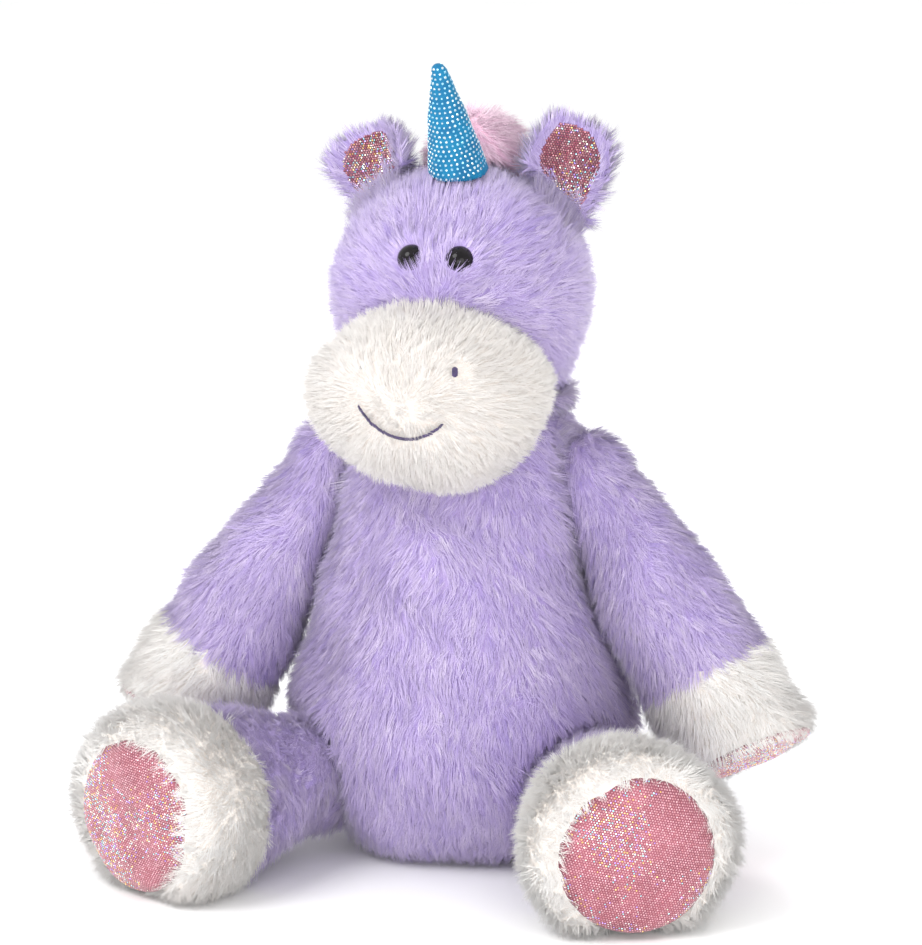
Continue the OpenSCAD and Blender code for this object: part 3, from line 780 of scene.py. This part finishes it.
def dot_field(name, places, radius, height, materials, seed, tilt, common=3):
    """Small raised dots at (place, normal) pairs, each tipped a little. radius and height are in millimetres.

    tilt is in degrees. The first tints are the common ones. All tints show in patches of smooth noise:
    painted glints, as if those patches caught the light.
    """
    rng = np.random.default_rng(seed)
    centre = np.array([p for p, _ in places])
    count = len(centre)
    normal = unit(np.array([n for _, n in places]) + rng.normal(size=(count, 3)) * math.radians(tilt))
    across = unit(np.cross(normal, [0.21, 0.83, 0.37]))
    over = np.cross(normal, across)
    wide = radius * MM * rng.uniform(0.88, 1.08, count)[:, None]
    rim = [centre + (across * math.cos(a) + over * math.sin(a)) * wide for a in np.arange(6) * math.pi / 3]
    top = [centre + normal * height * MM + (r - centre) * 0.6 for r in rim]
    low = [r - normal * height * MM for r in rim]
    co = np.stack([*low, *top], 1).reshape(-1, 3)
    base = np.arange(count)[:, None, None] * 12
    walls = np.array([[k, (k + 1) % 6, 6 + (k + 1) % 6, 6 + k] for k in range(6)])
    loops = np.concatenate([
        (base + walls[None]).reshape(count, 24),
        (base + np.arange(5, -1, -1)[None, None]).reshape(count, 6),
        (base + np.arange(6, 12)[None, None]).reshape(count, 6)], 1).ravel()
    sizes = np.tile([4] * 6 + [6, 6], count)
    plain = rng.integers(0, common, count)
    bright = rng.integers(0, len(materials), count)
    # painted glints: noise patches where any tint, the bright ones too, may show
    painted_glint = clamp(lumps(centre, 45 * MM, seed) + 0.62) * 0.85
    tint = np.where(rng.random(count) < painted_glint, bright, plain)
    return mesh_from(name, co, loops, sizes, materials, np.repeat(tint, 8), smooth=False)


def make_mane():
    """The mane's padded roll and its pale pink pile."""
    skin = filled("mane_skin", ["mane"], PINK_BACK, voxel=2, inset=2.0, rough=1.6, lump=18, seed=7,
                  keep=lambda co: off_head(co, 5.5, 4))
    co = vertices_of(skin)[0]
    co[:, 0] *= 1 + 0.16 * off_head(co, 6, 6)
    move_to(skin, co)
    finished(skin, "head", "filling", fill=0.6)

    def parted(co, normal):
        side = np.clip(co[:, 0] / (9 * MM), -1, 1)
        return np.stack([side, np.full(len(co), 0.4), np.full(len(co), -0.7)], 1)

    fur("mane_pile", skin, "head", "pink_plush", PINK, parted, nodes=["mane"], length=7.5, per_mm2=2.6,
        seed=60, stand=0.5, pull=0.3)


# ---------------------------------------------------------------- foil pads

DOT_PITCH = 1.08 * MM
ROW_STEP = 0.866  # the rows of a triangular grid, in pitches
DOT_R, DOT_RISE = 0.46, 0.12  # in millimetres
DOT_TILT = 13  # in degrees


def dot_grid(surface, centre, across, over, facing, rows, allowed):
    """Where a triangular grid of dots meets a surface, as (place, normal) pairs.

    The grid lies at a centre along two directions. allowed(flat) says which offsets from the centre are kept.
    """
    places = []
    for row in range(-rows, rows + 1):
        for k in range(-rows, rows + 1):
            flat = across * (k + row % 2 / 2) * DOT_PITCH + over * row * DOT_PITCH * ROW_STEP
            if not allowed(flat):
                continue
            place, normal = surface.ray_cast(Vector(centre + flat + facing * 0.02), Vector(-facing))[:2]
            if place is not None:
                places.append((np.array(place), np.array(normal)))
    return places


def foil_pad(name, node, axis, depth, body, seed, rise=1.6):
    """A round pad of foil cloth, crowned by rise millimetres and slightly creased, with its field of dots."""
    co = points(node)
    centre = (co.min(0) + co.max(0)) / 2
    axis = unit(axis)
    front = ((co - centre) @ axis).max()
    radius = np.linalg.norm(np.cross(co - centre, axis), axis=1).max()
    edge = 1.4 * MM
    dip = depth * 0.35
    profile = [(0, front - depth), (radius * 0.97, front - depth), (radius, front - edge - dip - 0.6 * MM)]
    profile += [(radius * s, front - edge + (1 - s ** 3) * rise * MM - s ** 8 * dip)
                for s in np.linspace(0.99, 0.04, 22)]
    pad = turned(name, profile + [(0, front - edge + rise * MM)], centre, axis, SATIN, sides=72)
    skin, normal = vertices_of(pad)
    crown = (skin - centre) @ axis > front - edge - dip
    move_to(pad, skin + axis * (lumps(skin, 0.020, seed) * 0.55 * MM * crown)[:, None])
    finished(pad, body, "pink_foil", node, fill=0.5)
    across = unit(np.cross(axis, [0.2, 0.1, 1.0]))
    places = dot_grid(surface_of(pad), centre, across, np.cross(axis, across), axis,
                      rows=int(radius / DOT_PITCH * 1.2),
                      allowed=lambda flat: np.linalg.norm(flat) <= radius - 0.4 * MM)
    dots = dot_field(name + "_dots", places, DOT_R, DOT_RISE, DOTS, seed, DOT_TILT)
    finished(dots, body, "pink_foil")


# ---------------------------------------------------------------- ears, limbs and tail


def make_ear(side):
    """One ear: a pinched plush leaf with a foil lining that the pile frames."""
    body = "ear_" + side
    root = joint_at(f"ear_{side}_fold")
    tip = unit(middle("ear_back_" + side) - root)
    droop = np.array([3.0, 0, -7.0]) * MM if side == "right" else np.zeros(3)

    def drooped(co):
        level = clamp((co - root) @ tip / (38 * MM))[:, None]
        return co + droop * level ** 1.5

    lining = drooped(points("ear_lining_" + side))
    heart = lining.mean(0)
    skin = filled(f"ear_{side}_skin", ["ear_back_" + side], LILAC_BACK, voxel=1.5, soften=4, inset=1.4,
                  rough=0.6, lump=16, seed=8, keep=lambda co: off_head(co, 9, 3))
    move_to(skin, drooped(vertices_of(skin)[0]))
    highest = unit(lining[np.argmax(lining[:, 2])] - heart)
    widest = unit(lining[np.argmax(lining[:, 0])] - heart)
    front = unit(np.cross(highest, widest))
    front = front * (1 if front[1] < 0 else -1)
    length_way = unit(tip - front * (tip @ front))
    side_way = np.cross(front, length_way)
    co = vertices_of(skin)[0]
    half = np.abs((lining - heart) @ side_way).max()
    level = clamp((co - root) @ length_way / (10 * MM))
    cup = np.clip(np.abs((co - heart) @ side_way) / half, 0, 1.4) ** 2
    move_to(skin, co + front * (5.5 * MM * cup * level)[:, None])
    fold = [heart + length_way * t * MM + front * 2 * MM for t in np.arange(-20, 5, 1.0)]
    press(skin, fold, depth=2.2, width=4)
    finished(skin, body, "lilac_plush", fill=0.3)
    headings = np.arange(64) * math.pi / 32
    rays = np.stack([np.sin(headings), np.cos(headings)])
    plane = np.stack([side_way, length_way], 1)
    narrowed = (lining - heart) @ plane * np.array([0.88, 1.0])
    reach = (narrowed @ rays).max(0)

    def inside(flat, margin):
        return (flat @ plane @ rays < reach - margin * MM).all(1)

    def off_lining(co, normal):
        return ~((normal @ front > 0.1) & inside(co - heart, 1.6))

    def flow(co, normal):
        return tip * 0.8 + unit(flattened(co - heart, front)) * 0.7

    def lower(co, normal):
        return 1 - 0.35 * clamp((co - heart) @ length_way / (16 * MM))

    turn = -1 if side == "left" else 1
    fur(f"ear_{side}_pile", skin, body, "lilac_plush", LILAC, flow, nodes=["ear_back_" + side],
        length=8.5, where=off_lining, seed=70 + turn, stand=0.5, length_at=lower)
    places = dot_grid(surface_of(skin), heart, side_way, length_way, front, rows=26,
                      allowed=lambda flat: inside(flat[None], 0.0)[0])
    sheet = dot_field(f"ear_{side}_lining", places, DOT_PITCH / MM * 0.75, 0.75, [SATIN], 5, 1, common=1)
    finished(sheet, body, "pink_foil", "ear_lining_" + side)
    raised = [(p + n * 0.9 * MM, n) for p, n in places]
    dots = dot_field(f"ear_{side}_dots", raised, DOT_R, DOT_RISE, EAR_DOTS, 75 + turn, DOT_TILT)
    finished(dots, body, "pink_foil")


def pad_facing(pad):
    """The direction across a flat pad's points, one way or the other."""
    return np.linalg.svd(pad - pad.mean(0), full_matrices=False)[2][2]


def recolour_past(skin, place, axis, border, material):
    """Gives a skin another material past a border along an axis from a place."""
    skin.data.materials.append(material)
    for p in skin.data.polygons:
        p.material_index = int((np.array(p.center) - place) @ axis > border)


def make_arm(side):
    """One arm: lilac sleeve, ivory cuff and foil palm."""
    body = "arm_" + side
    shoulder = joint_at("shoulder_" + side)
    reach = unit(middle("palm_pad_" + side) - shoulder)
    border = ((points("arm_cuff_" + side) - shoulder) @ reach).min()
    palm = points("palm_pad_" + side)
    palm_c = palm.mean(0)
    palm_r = distance(palm, palm_c).max()
    facing = pad_facing(palm)
    facing = facing * (1 if facing @ reach > 0 else -1)
    skin = filled(f"arm_{side}_skin", ["arm_stuffing_" + side], LILAC_BACK, voxel=2.5, inset=SWELL,
                  rough=1.7, lump=35, seed=11 + len(side),
                  keep=lambda co: clamp(-((co - palm_c) @ facing + 2.5 * MM) / (6 * MM)))
    recolour_past(skin, shoulder, reach, border, IVORY_BACK)
    finished(skin, body, "filling", "arm_stuffing_" + side, fill=0.6)

    def sleeve(co, normal):
        return (co - shoulder) @ reach < border

    def cuff(co, normal):
        off_palm = ((co - palm_c) @ facing < -1.5 * MM) | (distance(co, palm_c) > palm_r)
        return ~sleeve(co, normal) & off_palm

    def short_at_palm(co, normal):
        return 0.45 + 0.55 * clamp(-((co - palm_c) @ facing) / (12 * MM))

    flow = along(reach + np.array([0, 0, -0.2]))
    fur(f"arm_{side}_pile", skin, body, "lilac_plush", LILAC, flow, nodes=["arm_sleeve_" + side],
        where=sleeve, length=7.8, seed=80 + len(side))
    fur(f"cuff_{side}_pile", skin, body, "ivory_plush", IVORY, flow, nodes=["arm_cuff_" + side],
        where=cuff, length=9.0, length_at=short_at_palm, seed=90 + len(side), stand=0.58, pull=0.2)
    foil_pad(f"palm_{side}", "palm_pad_" + side, facing, 4 * MM, body, 95 + len(side))


def make_leg(side):
    """One leg: lilac sleeve, ivory foot and foil sole."""
    body = "leg_" + side
    hip = joint_at("hip_" + side)
    sole = points("sole_pad_" + side)
    sole_c = sole.mean(0)
    sole_r = distance(sole, sole_c).max()
    facing = pad_facing(sole)
    facing = facing * (1 if facing[1] < 0 else -1)
    border = ((points("foot_cover_" + side) - hip) @ facing).min()
    skin = filled(f"leg_{side}_skin", ["leg_stuffing_" + side], LILAC_BACK, voxel=2.5, inset=SWELL,
                  rough=1.8, lump=38, seed=14 + len(side))
    recolour_past(skin, hip, facing, border, IVORY_BACK)
    finished(skin, body, "filling", "leg_stuffing_" + side, fill=0.7)

    def sleeve(co, normal):
        return (co - hip) @ facing < border

    def foot(co, normal):
        from_axis = np.linalg.norm(flattened(co - sole_c, facing), axis=1)
        off_sole = (from_axis > sole_r - 0.5 * MM) | ((co - sole_c) @ facing < -14 * MM)
        return ~sleeve(co, normal) & off_sole

    def flow(co, normal):
        out = flattened(co - sole_c, facing)
        inward = clamp((sole_r + 6 * MM - np.linalg.norm(out, axis=1)) / (5 * MM))[:, None]
        front = clamp(((co - sole_c) @ facing + 20 * MM) / (14 * MM))[:, None]
        return facing + unit(out) * front * (0.5 - inward * 0.35) + UP * -0.25 * (1 - front)

    fur(f"leg_{side}_pile", skin, body, "lilac_plush", LILAC, along(facing + np.array([0, 0, -0.5])),
        nodes=["leg_sleeve_" + side], where=sleeve, length=7.8, seed=100 + len(side))
    fur(f"foot_{side}_pile", skin, body, "ivory_plush", IVORY, flow, nodes=["foot_cover_" + side],
        where=foot, length=7.0, seed=110 + len(side), stand=0.6, pull=0.2, per_mm2=2.5)
    foil_pad(f"sole_{side}", "sole_pad_" + side, facing, 8.5 * MM, body, 115 + len(side), rise=2.4)


def make_tail():
    """The tail's pink tuft."""
    skin = filled("tail_skin", ["tail"], PINK_BACK, voxel=1.5, inset=3.5, rough=0.8, lump=14, seed=17)
    finished(skin, "tail", "filling", fill=0.5)
    root = joint_at("tail_wag")
    fur("tail_pile", skin, "tail", "pink_plush", PINK, along(middle("tail") - root), nodes=["tail"],
        length=8.5, seed=120, stand=0.5)


# ---------------------------------------------------------------- studio

CAMERA_AZIMUTH, CAMERA_ELEVATION = math.radians(14), math.radians(11)
CAMERA_FAR = 1.5
CAMERA_AIM = Vector((0, 0, 0.158))
CAMERA_LENS = 138.3
FLOOR_HALF = 60.0


def make_studio():
    """A wide pale floor, soft lights and the camera."""
    world = bpy.data.worlds.new("studio_world")
    bpy.context.scene.world = world
    world.use_nodes = True
    world.node_tree.nodes["Background"].inputs["Color"].default_value = (1, 1, 1, 1)
    world.node_tree.nodes["Background"].inputs["Strength"].default_value = 1.05

    mesh = bpy.data.meshes.new("floor")
    corners = [(x * FLOOR_HALF, y * FLOOR_HALF, 0) for x, y in ((-1, -1), (1, -1), (1, 1), (-1, 1))]
    mesh.from_pydata(corners, [], [[0, 1, 2, 3]])
    pale = mottled(principled("pale_floor", Roughness=0.9), 3, (0.95, 0.95, 0.95), (0.97, 0.97, 0.97))
    new_object("floor", mesh, pale)

    def lamp(name, place, target, width, power):
        light = bpy.data.lights.new(name, "AREA")
        light.shape = "DISK"
        light.size = width
        light.energy = power
        made = bpy.data.objects.new(name, light)
        bpy.context.scene.collection.objects.link(made)
        made.location = place
        made.rotation_mode = "QUATERNION"
        made.rotation_quaternion = (Vector(target) - Vector(place)).to_track_quat("-Z", "Y")

    lamp("key_light", (-0.7, -1.0, 1.3), (0, 0, 0.15), 0.9, 13)
    lamp("fill_light", (0.9, -1.5, 0.45), (0, 0, 0.08), 1.2, 9)
    lamp("low_light", (0.1, -1.3, 0.22), (0, -0.1, 0.04), 0.6, 3)
    lamp("back_light", (0.2, 1.2, 1.2), (0, 0, 0.2), 0.9, 7)

    level = math.cos(CAMERA_ELEVATION)
    back = Vector((math.sin(CAMERA_AZIMUTH) * level, -math.cos(CAMERA_AZIMUTH) * level,
                   math.sin(CAMERA_ELEVATION)))
    camera = bpy.data.cameras.new("camera")
    made = bpy.data.objects.new("camera", camera)
    bpy.context.scene.collection.objects.link(made)
    bpy.context.scene.camera = made
    made.location = CAMERA_AIM + back * CAMERA_FAR
    made.rotation_mode = "QUATERNION"
    made.rotation_quaternion = (-back).to_track_quat("-Z", "Y")
    camera.lens = CAMERA_LENS
    camera.sensor_width = 36
    bpy.context.scene.view_settings.view_transform = "Standard"


# ---------------------------------------------------------------- the toy

make_studio()
torso_skin = make_torso()
make_back_seam(torso_skin)
make_neck()
make_head()
muzzle_skin = make_muzzle()
make_smile(muzzle_skin)
for one in SIDES:
    make_nostril(one, muzzle_skin)
    make_eye(one)
    make_ear(one)
    make_arm(one)
    make_leg(one)
    frame["nodes"]["eye_washer_" + one].data.materials.clear()
    frame["nodes"]["eye_washer_" + one].data.materials.append(WASHER_WHITE)
make_horn()
make_mane()
make_tail()
